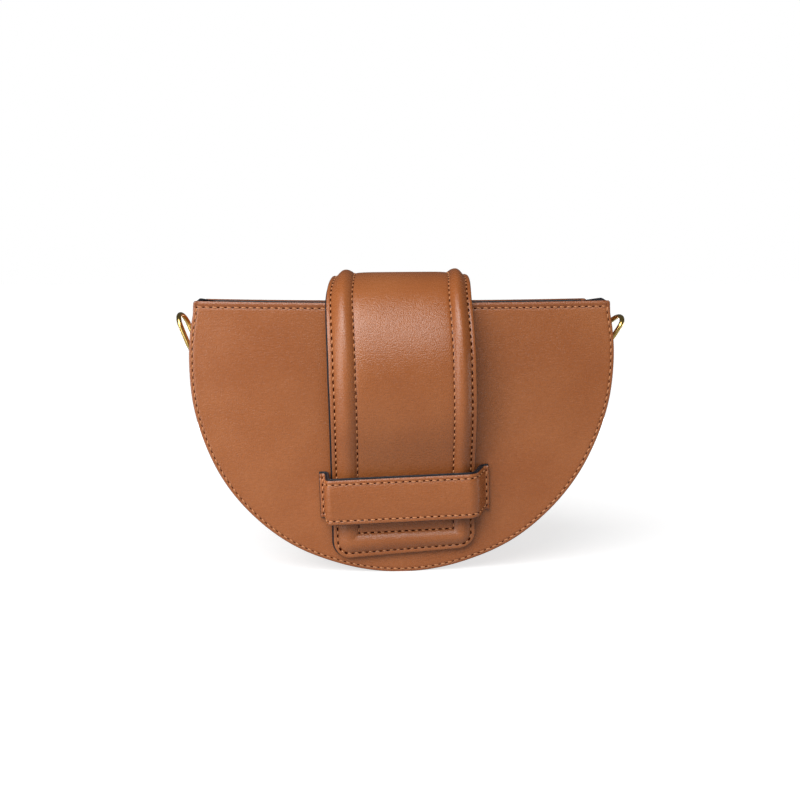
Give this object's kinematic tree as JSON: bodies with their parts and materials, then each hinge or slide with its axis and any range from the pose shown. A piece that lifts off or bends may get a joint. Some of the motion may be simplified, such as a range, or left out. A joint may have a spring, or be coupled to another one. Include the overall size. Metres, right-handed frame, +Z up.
{
  "type": "clutch bag",
  "caption": "Half-moon clutch bag in tan leather with a flanged gusset, a padded beaded strap that tucks behind a front keeper, and a D-ring at each end.",
  "frame": {"origin": "on the ground under the middle of the whole bag's outline", "axes": "+X to the right end of the mouth as the front is seen, -Y out of the front panel, +Z up"},
  "size_m": [0.2495, 0.092, 0.1663],
  "materials": {
    "tan_leather": "smooth satin",
    "black_lining": "matt",
    "grey_board": "matt",
    "white_filler": "matt",
    "gold_plate": "polished"
  },
  "bodies": {
    "bag": {"front_board": "grey_board", "front_facing": "black_lining", "front_lining": "black_lining", "front_panel": "tan_leather", "gusset": "tan_leather", "gusset_lining": "black_lining", "keeper_leather": "tan_leather", "keeper_lining": "black_lining", "left_ring_tab": "tan_leather", "rear_board": "grey_board", "rear_facing": "black_lining", "rear_lining": "black_lining", "rear_panel": "tan_leather", "right_ring_tab": "tan_leather", "strap_root_cord": "white_filler", "strap_root_leather": "tan_leather", "strap_root_lining": "black_lining", "strap_root_pad": "white_filler"},
    "flap_crown": {"strap_crown_leather": "tan_leather", "strap_crown_left_cord": "white_filler", "strap_crown_lining": "black_lining", "strap_crown_pad": "white_filler", "strap_crown_right_cord": "white_filler"},
    "flap_tongue": {"strap_tongue_cord": "white_filler", "strap_tongue_leather": "tan_leather", "strap_tongue_lining": "black_lining", "strap_tongue_pad": "white_filler"},
    "left_ring": {"left_d_ring": "gold_plate"},
    "right_ring": {"right_d_ring": "gold_plate"}
  },
  "joints": [
    {"name": "flap_lift", "type": "hinge", "parent": "bag", "child": "flap_crown", "pos_m": [-0.00187, 0.04621, 0.1398], "axis": [-1, 0, 0], "range_deg": [0, 31.7]},
    {"name": "tongue_level", "type": "hinge", "parent": "flap_crown", "child": "flap_tongue", "pos_m": [-0.00187, -0.03835, 0.1158], "axis": [-1, 0, 0], "range_deg": [-31.7, 0]},
    {"name": "left_ring_swing", "type": "hinge", "parent": "bag", "child": "left_ring", "pos_m": [-0.11665, 0.00763, 0.1226], "axis": [0, -1, 0], "range_deg": [-32, 153]},
    {"name": "right_ring_swing", "type": "hinge", "parent": "bag", "child": "right_ring", "pos_m": [0.11291, 0.00763, 0.1226], "axis": [0, 1, 0], "range_deg": [-44, 141]}
  ],
  "couplings": [
    {"joint": "tongue_level", "follows": "flap_lift", "ratio": -1}
  ]
}
